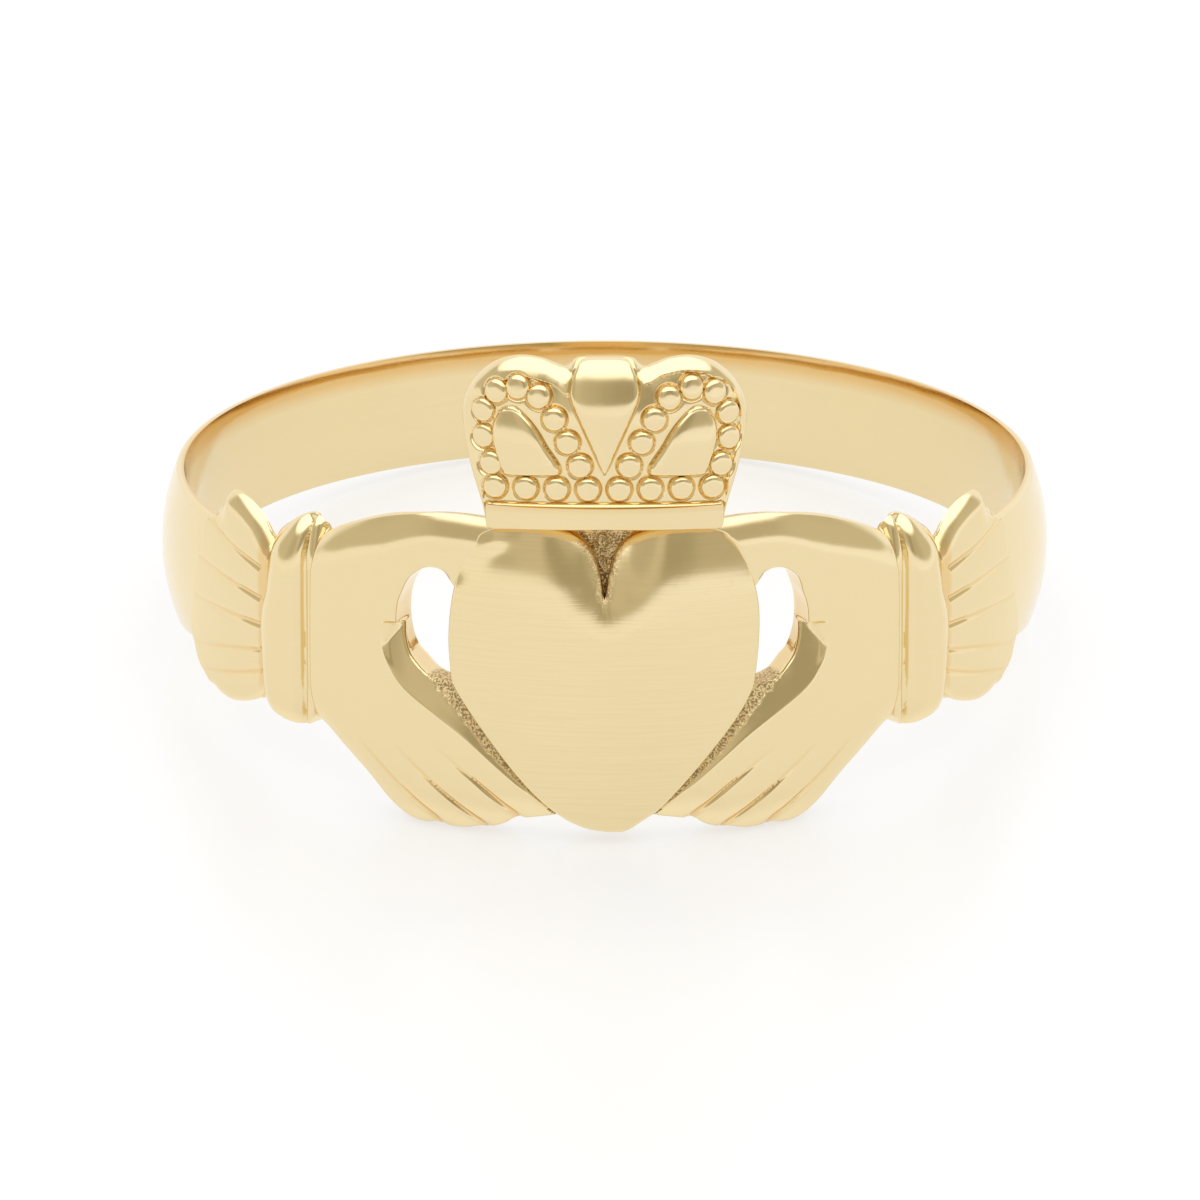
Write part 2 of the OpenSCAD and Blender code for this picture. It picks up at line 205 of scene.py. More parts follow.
# a plate on the ring: rows run from a middle point out to the outline, over a rounded edge, down the wall
# to the rear and back in to a point. front gives the radius of its face from the turn, the height and the
# distance to the edge. Marks stay off the rear.
def makePlate(name, shape, front, material, marks=None):
    shape = {**plateLook, "topEdge": shape["edge"], **shape}
    line = smoothLine(shape["outline"], shape["cols"])
    middle = np.array(shape["middle"], float)
    fx, fy = flat(line[:, 0]), line[:, 1]
    tx, ty = np.roll(fx, -1) - np.roll(fx, 1), np.roll(fy, -1) - np.roll(fy, 1)
    area = (fx * np.roll(fy, -1) - fy * np.roll(fx, -1)).sum()
    size = np.hypot(tx, ty) * np.sign(area)
    depth = ((fx - flat(middle[0])) * ty - (fy - middle[1]) * tx) / size
    upward = easeBetween(*shape["facesUp"], -tx / size)
    edge = shape["edge"] + (shape["topEdge"] - shape["edge"]) * upward
    n = shape["rows"]
    share = 1 - (1 - np.linspace(0, 1, n)) ** shape["crowd"]
    wall = np.linspace(0, 1, shape["wallRows"])[1:-1]
    inward = np.linspace(1, 0, shape["rearRows"])
    spread = np.concatenate([share, np.ones(len(wall)), inward])[:, None, None]
    place = middle + spread * (line - middle)
    drop = np.concatenate([np.zeros(n), wall, inward])[:, None]
    place[..., 1] -= shape["draft"] * upward * drop
    turn, up = place[..., 0], place[..., 1]
    inset = (1 - spread[..., 0]) * np.maximum(depth, shape["leastDepth"])
    face = front(turn, up, inset) - rollOff(inset, edge, edge)
    row = np.arange(len(spread))[:, None]
    radius = np.where(row < n, face, shape["back"])
    radius[n:n + len(wall)] = face[n - 1] * (1 - wall[:, None]) + shape["back"] * wall[:, None]
    seen = row < n + len(wall)
    got = {mark: worth(turn, up, inset) * seen for mark, worth in (marks or {}).items()}
    makePiece(name, onRing(turn, up, radius), got, material, poles=True)


class Wire:
    # a shader socket that takes part in Python sums and products; each of them adds one Math node
    def __init__(self, tree, socket=None):
        self.tree = tree
        self.socket = socket

    # one more node: its settings come first, then the values or links of its sockets
    def add(self, kind, settings=None, sockets=None, output=0):
        node = self.tree.nodes.new(kind)
        for name, value in (settings or {}).items():
            setattr(node, name, value)
        for name, value in (sockets or {}).items():
            if isinstance(value, Wire):
                self.tree.links.new(value.socket, node.inputs[name])
            else:
                node.inputs[name].default_value = value
        return Wire(self.tree, node.outputs[output]) if len(node.outputs) else None

    def maths(self, operation, first, second):
        return self.add("ShaderNodeMath", {"operation": operation}, {0: first, 1: second})

    def __add__(self, other):
        return self.maths("ADD", self, other)

    def __radd__(self, other):
        return self.maths("ADD", other, self)

    def __sub__(self, other):
        return self.maths("SUBTRACT", self, other)

    def __rsub__(self, other):
        return self.maths("SUBTRACT", other, self)

    def __mul__(self, other):
        return self.maths("MULTIPLY", self, other)

    def __rmul__(self, other):
        return self.maths("MULTIPLY", other, self)

    # 0 below low, 1 above high, and a smooth rise between them
    def ease(self, low, high, least=0.0, most=1.0):
        sockets = {0: self, 1: low, 2: high, 3: least, 4: most}
        return self.add("ShaderNodeMapRange", {"interpolation_type": "SMOOTHSTEP"}, sockets)

    def blend(self, first, second):
        return self.add("ShaderNodeMix", {"data_type": "RGBA"}, {0: self, 6: first, 7: second}, output=2)


goldLook = {
    "bright": (0.86, 0.71, 0.42, 1),
    "streak": (0.835, 0.68, 0.385, 1),  # along the polishing strokes
    "deep": (0.78, 0.45, 0.12, 1),      # light that has bounced between gold walls
    "pitShade": (0.30, 0.22, 0.11, 1),     # painted shade in the pits of the rough casting
    "castShine": 0.42,                  # roughness where the casting was left rough
    "waveSize": 900,                    # polishing waves per metre
    "waveDepth": 0.000012,
    "grainSize": 23000,
    "grainDepth": 0.000030,
    "strokeSize": (500, 500, 26000),    # long along the ring, short across it
    "strokeAt": (0.3, 0.7),
    "strokeShine": 0.05,
    "pitShadeAt": (0.46, 0.55, 0, 0.9),    # painted shade in the pits: how far down the grain is where the dark specks start and end, and their strength
    "wornSize": 5200.0,
    "wornAt": (0.55, 0.75, 0, 0.05),    # small patches that are a little duller
}
finishes = {
    "polishedGold": {"shine": 0.11, "strokeDepth": 0.004, "strokeTint": 0.2},
    "satinGold": {"shine": 0.14, "strokeDepth": 0.025, "strokeTint": 0.7},
}


def makeGold(name):
    look = {**goldLook, **finishes[name]}
    material = bpy.data.materials.new(name)
    material.use_nodes = True
    tree = material.node_tree
    tree.nodes.clear()
    bench = Wire(tree)
    place = bench.add("ShaderNodeTexCoord", output="Object")

    def noise(where, size, detail):
        return bench.add("ShaderNodeTexNoise", None, {"Vector": where, "Scale": size, "Detail": detail})

    cast = bench.add("ShaderNodeAttribute", {"attribute_name": "cast"}, output="Fac")
    bounceShadeMask = bench.add("ShaderNodeAttribute", {"attribute_name": "bounceShadeMask"}, output="Fac")
    wave = noise(place, look["waveSize"], 1.0)
    grain = noise(place, look["grainSize"], 3.0)
    drawn = bench.add("ShaderNodeMapping", None, {"Vector": place, "Scale": look["strokeSize"]})
    stroke = noise(drawn, 1.0, 3.0)
    worn = noise(place, look["wornSize"], 2.0)
    depth = look["grainDepth"]
    height = wave * (look["waveDepth"] / depth) + grain * cast + stroke * look["strokeDepth"]
    bump = bench.add("ShaderNodeBump", None, {"Strength": 1.0, "Distance": depth, "Height": height})
    plain = (stroke.ease(*look["strokeAt"]) * look["strokeTint"]).blend(look["bright"], look["streak"])
    # painted shade: where the mask attribute is high, the colour turns a deeper amber, as if light had
    # bounced between gold walls
    colour = bounceShadeMask.blend(plain, look["deep"])
    # painted shade: dark specks in the rough casting, where its pits would lie in shade
    colour = (cast * grain.ease(*look["pitShadeAt"])).blend(colour, look["pitShade"])
    shine = cast * (look["castShine"] - look["shine"]) + look["shine"]
    shine = shine + stroke * look["strokeShine"] + worn.ease(*look["wornAt"])
    sockets = {"Base Color": colour, "Metallic": 1.0, "Roughness": shine, "Normal": bump}
    metal = bench.add("ShaderNodeBsdfPrincipled", None, sockets)
    bench.add("ShaderNodeOutputMaterial", None, {"Surface": metal})
    return material


polished = makeGold("polishedGold")
satin = makeGold("satinGold")
print("gold made")

rightLobe = [(17.75, -0.80), (18.3, -0.35), (18.75, 0.45), (18.7, 1.3), (17.4, 2.2), (15.7, 2.72),
             (13.2, 2.95), (10.5, 3.01), (7.4, 2.97), (5.4, 2.91), (3.6, 2.8), (2.2, 2.6), (1.25, 2.35),
             (0.5, 1.9)]
leftLobe = [*mirrored(rightLobe[4:]), (-18.5, 1.45), (-18.95, 0.55), (-18.7, -0.30), (-18.1, -0.73)]
cleftFoot = (0.0, 1.42)
heartShape = {
    "outline": [(1.3, -3.98), (2.9, -3.93), (5.1, -3.66), (6.4, -3.50), (8.1, -3.18), (11.1, -2.54),
                (15.4, -1.53), *rightLobe, cleftFoot, *leftLobe, (-14.8, -1.65), (-11.0, -2.6),
                (-8.0, -3.22), (-5.3, -3.62), (-2.8, -3.86), (-0.8, -3.95)],
    "middle": (0.0, -0.5), "cols": 560, "rows": 84, "rearRows": 18, "edge": 0.07, "draft": 0.1,
    "top": 10.595, "dome": 41.0, "domeMiddle": -0.45,
    # the lobes' roll, which is tighter and starts lower near the cleft
    "lobeBend": 4.6, "tighter": 0.9, "lobeReach": 0.10, "nearReach": 0.09, "nearCleft": (8, 3),
    "cleftWidth": 0.2, "cleftBend": 0.45,
    # where the left shoulder melts into the thumb, and how it lies on it
    "meltInset": (0.7, 0.0), "meltUp": (1.5, 2.1), "meltTurn": (-9.5, -14),
    "shoulder": 0.05, "shoulderInset": (0, 0.4), "shoulderSink": 0.006,
    # the rough sides of the cleft, with painted warm shade on them
    "castAside": (0.2, 0.04), "castUp": (2.8, 2.5), "castTurn": (4.5, 3),
    "castSize": 0.08, "castMean": 0.6, "castSpread": 0.4, "castGlow": 0.3,
}
# where the lobes start to roll back, and the sides of the cleft between them
lobeFoot = smoothLine([(-21, 2.35), (-15, 2.23), (-10, 2.15), (-5.3, 1.93), (-1.9, 1.42), (0.4, 1.165),
                       (3.6, 1.45), (7.8, 1.90), (11.5, 2.07), (16.0, 2.04), (20, 1.85)], 80, False)
cleftSide = smoothLine([*rightLobe[8:], cleftFoot, *mirrored(rightLobe[8:])], 60, False)


# the heart's face: a parabola in height, less the lobes' roll towards their tops and the one into the cleft.
# On the left its shoulder melts into the thumb.
def heartFront(turn, up, inset):
    h = heartShape
    above, _ = nearLine(turn, up, lobeFoot)
    cleft, _ = nearLine(turn, up, cleftSide)
    face = h["top"] - (up - h["domeMiddle"]) ** 2 / h["dome"]
    near = easeBetween(*h["nearCleft"], np.abs(turn))
    bend = h["lobeBend"] - h["tighter"] * near
    face = face - rollOff(-above, (h["lobeReach"] + h["nearReach"] * near) * bend, bend)
    face = face - rollOff(np.abs(cleft), h["cleftWidth"], h["cleftBend"])
    melt = easeBetween(*h["meltInset"], inset) * easeBetween(*h["meltUp"], up)
    melt = melt * easeBetween(*h["meltTurn"], turn)
    meet = handSkin(np.abs(turn), up) + h["shoulder"] * easeBetween(*h["shoulderInset"], inset)
    meet = meet - h["shoulderSink"] + rollOff(inset, h["edge"], h["edge"])
    return face * (1 - melt) + meet * melt


# the sides of the cleft are left rough: 1 beside its line, broken up by grain
def heartCast(turn, up, inset):
    h = heartShape
    cleft, _ = nearLine(turn, up, cleftSide)
    rough = h["castMean"] + h["castSpread"] * castGrain(turn, up, h["castSize"], 31)
    beside = easeBetween(*h["castAside"], np.abs(cleft))
    return beside * easeBetween(*h["castUp"], up) * easeBetween(*h["castTurn"], np.abs(turn)) * rough


# painted shade: the rough sides of the cleft turn a deeper amber, as if from light bounced between the lobes
def heartBounceShade(turn, up, inset):
    return heartCast(turn, up, inset) * heartShape["castGlow"]


# The right hand. The left one is its mirror image, except for the thumb's dip and the far end of the gap.
# The sides of the gap and the hand's outer sides run between the same ends.
handShape = {
    "gapSide": [(12.6, 1.8), (16.5, 1.6), (18.3, 1.55), (19.0, 1.78), (20.6, 1.93), (22.4, 1.90),
                (24.0, 1.70), (24.8, 1.50), (25.3, 1.30)],
    "gapEnd": [(25.3, 1.30), (25.75, 1.09), (26.0, 0.85), (26.05, 0.58), (25.85, 0.30), (25.5, 0.08),
               (25.1, -0.1)],
    "gapLow": [(25.1, -0.1), (24.7, -0.22), (24.0, -0.36), (22.6, -0.58), (21.2, -0.69), (19.7, -0.76),
               (18.4, -0.82), (16.5, -1.15), (13.2, -1.95), (9.8, -2.75), (7.0, -3.2)],
    "thumbSide": [(12.6, 3.08), (15.3, 3.10), (18.4, 3.13), (22.4, 3.10), (27.1, 2.95), (31.4, 2.72),
                  (35.5, 2.42), (37.9, 2.16), (39.7, 1.95)],
    "cuffSide": [(39.7, 1.95), (39.7, -1.98)],
    "fingerSide": [(39.7, -1.98), (37.2, -2.18), (34.5, -2.58), (31.0, -3.11), (27.8, -3.68), (25.3, -3.98),
                   (23.2, -4.06), (21.6, -4.03), (20.4, -4.08), (17.9, -4.09), (15.7, -4.02), (14.6, -4.03),
                   (12.6, -3.91), (11.2, -3.76), (10.0, -3.76), (8.2, -3.71), (6.5, -3.66), (5.2, -3.55)],
    "cols": (120, 90, 230), "rows": 132, "rearRows": 12, "wallRows": 6, "edge": 0.06,
    "back": boreRadius + 0.004,  # just outside the heart's back, so that the two don't lie in one place
    "rearMargin": 0.01,          # marks stay off all that is nearer than this to the back
    "skin": 10.45, "skinMiddle": -0.45, "bulge": 122.0,
    # the roll towards the thumb side, which is narrower beside the gap
    "topWidth": 0.87, "topBend": 1.2, "beside": (29, 21), "besideWidth": 0.22, "besideBend": 0.08,
    # the roll towards the fingers, which starts further in where their side runs aslant
    "lowWidth": 0.9, "lowBend": 1.7, "slant": 0.23, "slantFrom": (22, 28), "slantTo": (38, 34),
    "wristAt": 38.9, "wristBend": 0.16,
    # the thumb dips under the right lobe and runs on into the left one
    "dip": 0.3, "dipUp": (0.8, 1.2), "dipRight": (0.02, 0.22), "dipLeft": (0.2, 0.5),
    "dipTurn": (15.6, 14.2), "dipInside": (0.0, 0.12),
    # the palm falls away from the ridge; its upper end leans back and stops at a short step
    "ridge": [(26.2, 1.45), (27.6, 1.0), (28.25, 0.5), (28.15, 0.1), (27.5, -0.3), (26.3, -0.67),
              (24.5, -0.99), (21.0, -1.42), (17.6, -1.85), (13.4, -2.5), (9.3, -3.13), (7.2, -3.46)],
    "ridgeBend": 0.025, "palmSlope": math.tan(math.radians(30)), "palmDepth": 0.42,
    "leanFrom": -0.5, "leanMost": 1.2, "lean": (0.10, 0.16),
    "leanWidth": 0.12, "leanWider": 0.28, "leanUp": (0, 0.45), "step": (0.60, 0.48),
    # the rough casting beside the heart, with painted warm shade on it
    "castStep": 0.035, "castGrain": 0.010, "castShare": (0.40, 0.50), "castUp": (-0.35, -0.62),
    "castInner": (19, 13), "castMore": 0.12, "castGlow": 0.12,
    "ragSize": 0.12, "ragShare": 0.05, "ragUp": 0.06, "leastGap": 0.02,
    "roughSize": 0.10, "fineSize": 0.05, "fineShare": 0.7,
    # a finger groove is a narrow cut in a wide swell; both deepen along it
    "swellWidth": 0.20, "swellShare": 0.18, "cutShare": 0.6, "cutWidth": 0.032, "cutWider": 0.026,
    "deepening": (0.05, 0.9),
    "draft": 0.17, "draftUp": (1.0, 2.0), "lowDraft": 0.09, "lowDraftUp": (-3.2, -3.7),
    "gapDraft": 0.04, "endDraft": 0.08, "endTurn": (24, 25.5),
    # by how many degrees the far end of the right gap is nearer to the heart, and where it is
    "rightShift": 0.6, "shiftTurn": (20, 25.5), "shiftFade": (30, 26.5),
    "shiftUp": (1.9, 1.2), "shiftLow": (-1.2, -0.4),
    # painted warm shade on the gap's rear wall and in the finger grooves
    "gapGlow": 0.3, "gapGlowTurn": (18.5, 20), "cutGlow": 0.4, "cutGlowUp": (-1.9, -3.2),
}
fingerGrooves = [
    {"line": [(31.2, -2.27), (27.6, -2.88), (24.7, -3.36), (21.5, -3.89), (20.5, -4.1)], "depth": 0.10},
    {"line": [(27.6, -2.0), (24.0, -2.62), (20.8, -3.12), (18.0, -3.53), (15.3, -3.93), (14.2, -4.1)],
     "depth": 0.125},
    {"line": [(23.2, -1.82), (18.4, -2.54), (15.3, -2.97), (12.3, -3.44), (10.4, -3.8)], "depth": 0.12},
]
thumbLine = smoothLine(handShape["thumbSide"], 60, False)
fingerLine = smoothLine(handShape["fingerSide"], 80, False)[::-1]
ridgeLine = smoothLine(handShape["ridge"], 60, False)
grooveLines = [smoothLine(groove["line"], 40, False) for groove in fingerGrooves]
lobeSide = smoothLine([(18.9, 0.9), *rightLobe[3:10], (4.0, 3.0)], 60, False)
heartSide = smoothLine([(18.9, -0.1), (18.1, -0.73), (15.0, -1.6), (11.1, -2.54), (8.1, -3.18),
                        (6.4, -3.5)], 30, False)


# the skin of a hand without its carving: a shallow parabola in height, less the rolls towards the thumb
# side, the finger side and the wrist
def handSkin(turn, up):
    h = handShape
    top = np.interp(turn, thumbLine[:, 0], thumbLine[:, 1])
    low = np.interp(turn, fingerLine[:, 0], fingerLine[:, 1])
    slant = 1 - h["slant"] * easeBetween(*h["slantFrom"], turn) * easeBetween(*h["slantTo"], turn)
    beside = easeBetween(*h["beside"], turn)
    skin = h["skin"] - (up - h["skinMiddle"]) ** 2 / h["bulge"]
    width = h["topWidth"] - h["besideWidth"] * beside
    skin = skin - rollOff(top - up, width, h["topBend"] - h["besideBend"] * beside)
    skin = skin - rollOff((up - low) * slant, h["lowWidth"], h["lowBend"])
    return skin - rollOff(flat(h["wristAt"] - turn), h["wristBend"], h["wristBend"])


# where the casting is left rough: the lower part of the palm on the heart's side, with a ragged edge
def palmCast(turn, up):
    h = handShape
    away, _ = nearLine(turn, up, ridgeLine)
    side, _ = nearLine(turn, up, heartSide)
    palm, gap = np.maximum(-away, 0), np.abs(side)
    share = palm / (palm + gap + h["leastGap"]) + h["ragShare"] * castGrain(turn, up, h["ragSize"], 5)
    share = share + h["castMore"] * easeBetween(*h["castInner"], turn)
    ragged = up + h["ragUp"] * castGrain(turn, up, h["ragSize"], 9)
    return easeBetween(*h["castShare"], share) * easeBetween(*h["castUp"], ragged)


# 1 in the middle of a finger groove, which widens along its length
def grooveCut(away, along):
    return bell(away, handShape["cutWidth"] + handShape["cutWider"] * along)


# a hand's face: its skin, less the thumb's dip, the palm, the finger grooves and the rough casting
def handFront(turn, up, side):
    h = handShape
    face = handSkin(turn, up)
    inside, _ = nearLine(turn, up, lobeSide)
    dip = easeBetween(*h["dipRight" if side > 0 else "dipLeft"], inside)
    dip = np.maximum(dip, easeBetween(*h["dipTurn"], turn) * easeBetween(*h["dipInside"], inside))
    face = face - h["dip"] * dip * easeBetween(*h["dipUp"], up)
    away, _ = nearLine(turn, up, ridgeLine)
    fall = (np.sqrt(away**2 + h["ridgeBend"] ** 2) - away) / 2 * h["palmSlope"]
    fall = h["palmDepth"] * np.tanh(fall / h["palmDepth"])
    rise = np.clip(up - h["leanFrom"], 0, h["leanMost"])
    width = h["leanWidth"] + h["leanWider"] * easeBetween(*h["leanUp"], up)
    lean = (h["lean"][0] * rise + h["lean"][1] * rise**2) * easeBetween(0, width, -away)
    face = face - (fall + lean) * easeBetween(*h["step"], up)
    for groove, line in zip(fingerGrooves, grooveLines):
        away, along = nearLine(turn, up, line)
        carved = grooveCut(away, along) * h["cutShare"] + bell(away, h["swellWidth"]) * h["swellShare"]
        face = face - groove["depth"] * easeBetween(*h["deepening"], along) * carved
    rough = castGrain(turn, up, h["roughSize"], 3) + h["fineShare"] * castGrain(turn, up, h["fineSize"], 4)
    return face - palmCast(turn, up) * (h["castStep"] - h["castGrain"] * rough)


# three of the tables as one line
def handLine(names):
    parts = [smoothLine(handShape[name], n, False) for name, n in zip(names, handShape["cols"])]
    return np.vstack([parts[0], parts[1][1:], parts[2][1:]])


# how many degrees the right hand is drawn towards the heart, at the far end of its gap
def gapShift(turn, up):
    h = handShape
    across = h["rightShift"] * easeBetween(*h["shiftTurn"], turn) * easeBetween(*h["shiftFade"], turn)
    return across * easeBetween(*h["shiftUp"], up) * easeBetween(*h["shiftLow"], up)


# a hand is a strip round the gap: each column runs from the gap's side out to the hand's outer edge,
# round that edge to the rear, and back in to the gap
def makeHand(name, side):
    h = handShape
    inner = handLine(["gapSide", "gapEnd", "gapLow"])
    outer = handLine(["thumbSide", "cuffSide", "fingerSide"])
    n, rear = h["rows"], h["back"]
    share = (0.5 - 0.5 * np.cos(np.linspace(0, math.pi, n)))[:, None]
    wall = np.linspace(0, 1, h["wallRows"])[1:-1][:, None]
    w = len(wall)
    inward = np.linspace(1, 0, h["rearRows"])[:, None]
    mix = np.vstack([share, np.ones_like(wall), inward, np.zeros_like(wall)])
    turn = inner[:, 0] * (1 - mix) + outer[:, 0] * mix
    up = inner[:, 1] * (1 - mix) + outer[:, 1] * mix
    width = np.hypot(flat(outer[:, 0] - inner[:, 0]), outer[:, 1] - inner[:, 1])
    if side > 0:
        turn = turn - gapShift(turn, up)
    edge = h["edge"]
    face = handFront(turn[:n], up[:n], side)
    face = face - rollOff(mix[:n] * width, edge, edge) - rollOff((1 - mix[:n]) * width, edge, edge)
    lower = h["draft"] * easeBetween(*h["draftUp"], outer[:, 1])
    lower = lower - h["lowDraft"] * easeBetween(*h["lowDraftUp"], outer[:, 1])
    up[n:n + w] -= lower * wall
    up[n + w:-w] -= lower * mix[n + w:-w]
    back = np.zeros(turn.shape)
    back[-w:] = 1 - wall
    back[n + w:-w] = 1 - mix[n + w:-w]
    back = back * (h["gapDraft"] + h["endDraft"] * easeBetween(*h["endTurn"], inner[:, 0])) / width
    turn = turn + back * (outer[:, 0] - inner[:, 0])
    up = up + back * (outer[:, 1] - inner[:, 1])
    radius = np.full(turn.shape, rear)
    radius[:n] = face
    radius[n:n + w] = face[-1] * (1 - wall) + rear * wall
    radius[-w:] = rear * (1 - wall) + face[0] * wall
    cast = palmCast(turn, up)
    # painted shade: deeper amber on the rough palm, on the gap's walls and in the finger grooves
    gapWallShade = np.zeros(turn.shape)
    gapWallShade[-w:] = easeBetween(*h["gapGlowTurn"], turn[-w:])
    deep = sum(grooveCut(*nearLine(turn, up, line)) for line in grooveLines)
    deep = deep * h["cutGlow"] * easeBetween(*h["cutGlowUp"], up)
    seen = radius > rear + h["rearMargin"]
    bounceShadeMask = np.clip(cast * h["castGlow"] + gapWallShade * h["gapGlow"] + deep, 0, 1)
    marks = {"cast": cast * seen, "bounceShadeMask": bounceShadeMask * seen}
    makePiece(name, onRing(turn * side, up, radius), marks, polished)


makeHand("handRight", 1)
makeHand("handLeft", -1)
print("hands made")

makePlate("heart", heartShape, heartFront, satin, {"cast": heartCast, "bounceShadeMask": heartBounceShade})

# the floor of the cleft, seen between the lobes and under the crown's bar
cleftShape = {
    "outline": [(7.5, 2.98), (0, 3.0), (-7.5, 2.98), (-6.5, 2.2), (-2.0, 1.2), (0, 0.9), (2.0, 1.2),
                (6.5, 2.2)],
    "middle": (0, 2.2), "cols": 160, "rows": 60, "crowd": 1.0, "edge": 0.05, "rearRows": 8,
    "back": boreRadius + 0.012,
    "top": 9.90, "fall": 0.12, "fallUp": (1.6, 2.9), "glow": 0.8, "castGlow": 0.65,
    "castUp": (2.92, 2.75), "ragSize": 0.1, "ragUp": 0.1,
    "grain": 0.04, "roughSize": 0.08, "fineSize": 0.04, "fineShare": 0.6,
}


# 1 below the bar, ragged at the top
def cleftCast(turn, up, inset):
    c = cleftShape
    return easeBetween(*c["castUp"], up + c["ragUp"] * castGrain(turn, up, c["ragSize"], 21))


# a floor that falls away in height, with two sizes of cast grain
def cleftFront(turn, up, inset):
    c = cleftShape
    rough = castGrain(turn, up, c["roughSize"], 22) + c["fineShare"] * castGrain(turn, up, c["fineSize"], 23)
    fall = c["fall"] * easeBetween(*c["fallUp"], up)
    return c["top"] - fall + c["grain"] * rough * cleftCast(turn, up, inset)


# painted shade: the cleft's floor is painted a deeper amber, less so where it is rough
def cleftBounceShade(turn, up, inset):
    return cleftShape["glow"] - cleftShape["castGlow"] * cleftCast(turn, up, inset)


makePlate("cleftFloor", cleftShape, cleftFront, polished, {"cast": cleftCast, "bounceShadeMask": cleftBounceShade})
print("heart made")

rollShape = {
    "outline": [(38.4, 2.20), (39.6, 2.42), (41.2, 2.47), (43.0, 2.36), (44.8, 2.14), (46.6, 1.93),
                (47.8, 1.68), (48.5, 1.33), (48.75, 0.7), (48.8, 0.0), (48.75, -0.8), (48.4, -1.50),
                (47.5, -1.89), (46.0, -2.12), (44.0, -2.26), (42.0, -2.36), (40.5, -2.34), (39.4, -2.16),
                (38.6, -1.8), (38.3, 0.0), (38.3, 1.9)],
    "middle": (43.8, 0.15), "cols": 240, "rows": 64, "edge": 0.08, "draft": 0.45,
    "back": boreRadius + 0.008,
    "top": 10.52, "bend": 0.80, "centre": 44.6, "steeper": 1.05, "least": 9.75, "grooveFloor": 10.11,
    "topRoll": (1.15, 1.35), "lowRoll": (0.6, 1.0),
    # the lip beside the hand, with a thin wire along it
    "lip": 40.25, "lipTop": 10.14, "lipRoll": (0.85, 1.1),
    "wireAt": 39.5, "wireHalf": 0.13, "wireHeight": 0.10,
}
rollTop = smoothLine([(37.5, 2.1), *rollShape["outline"][:8], (49.3, 0.9)], 40, False)
rollLow = smoothLine([(49.3, -0.9), *rollShape["outline"][11:18], (37.5, -1.8)], 40, False)


# a roll is half a round bar that stands along the axis; a low lip joins it to the hand
def rollFront(turn, up, inset):
    r = rollShape
    across = flat(turn - r["centre"]) * r["steeper"]
    bar = r["top"] - rollOff(r["bend"] - np.abs(across), r["bend"], r["bend"])
    top, _ = nearLine(turn, up, rollTop)
    low, _ = nearLine(turn, up, rollLow)
    wire = np.sqrt(np.maximum(0, 1 - (flat(turn - r["wireAt"]) / r["wireHalf"]) ** 2))
    lip = r["lipTop"] + r["wireHeight"] * wire - rollOff(np.abs(top), *r["lipRoll"])
    bar = np.maximum(bar, r["grooveFloor"]) - rollOff(np.abs(top), *r["topRoll"])
    bar = bar - rollOff(np.abs(low), *r["lowRoll"])
    return np.where(turn > r["lip"], np.maximum(bar, r["least"]), lip)


flareShape = {
    "outline": [(47.2, 1.6), (49.6, 2.05), (51.5, 2.25), (53.7, 2.38), (55.6, 2.42), (57.0, 2.34),
                (58.2, 2.0), (59.3, 1.66), (60.6, 1.62), (61.7, 1.35), (61.9, 1.0), (62.2, 0.72),
                (63.5, 0.6), (64.1, 0.3), (64.7, -0.05), (64.6, -0.3), (65.0, -0.6), (65.5, -0.95),
                (65.1, -1.3), (64.2, -1.55), (63.6, -1.76), (62.6, -1.94), (61.4, -2.06), (60.4, -2.18),
                (59.4, -2.27), (57.4, -2.38), (55.0, -2.40), (52.0, -2.28), (49.6, -2.10), (47.6, -1.8),
                (47.4, 0.0)],
    "middle": (54.5, 0.05), "cols": 370, "rows": 74, "edge": 0.06, "draft": 0.6,
    "back": boreRadius + 0.012,
    "top": 10.17, "topRoll": (0.53, 0.62), "lowRoll": (0.25, 0.4),
    "grooves": [[(48.9, 0.98), (54.0, 1.25), (59.6, 1.68)],
                [(48.9, 0.27), (55.5, 0.45), (62.2, 0.66)],
                [(48.9, -0.34), (55.5, -0.33), (63.4, -0.32)],
                [(48.9, -0.92), (55.5, -1.15), (62.9, -1.42)],
                [(48.6, -1.40), (54.0, -1.68), (60.6, -1.92)]],
    "cutDepth": 0.048, "cutFade": 0.033, "cutWidth": 0.065, "cutNarrower": 0.02,
    "swellDepth": 0.03, "swellWidth": 0.18,
    "cutGlow": 0.35, "rootGlow": 0.4, "rootTurn": (49.3, 48.5), "rootUp": (2.0, 1.4), "glowTurn": (66, 52),
}
pleatLines = [smoothLine(line, 24, False) for line in flareShape["grooves"]]
flareTop = smoothLine(flareShape["outline"][:7], 30, False)
flareLow = smoothLine(flareShape["outline"][24:30], 30, False)


# 1 in the middle of a groove between two pleats, which narrows along its length
def pleatCut(away, along):
    return bell(away, flareShape["cutWidth"] - flareShape["cutNarrower"] * along)


# a flare is a thin plate less a groove between each pair of pleats, deepest at the roll;
# the pleats swell between the grooves and the top one rolls over
def flareFront(turn, up, inset):
    f = flareShape
    face = np.full(turn.shape, f["top"])
    for line in pleatLines:
        away, along = nearLine(turn, up, line)
        face = face - (f["cutDepth"] - f["cutFade"] * along) * pleatCut(away, along)
        face = face - f["swellDepth"] * (1 - along) * bell(away, f["swellWidth"])
    top, _ = nearLine(turn, up, flareTop)
    low, _ = nearLine(turn, up, flareLow)
    return face - rollOff(np.abs(top), *f["topRoll"]) - rollOff(np.abs(low), *f["lowRoll"])


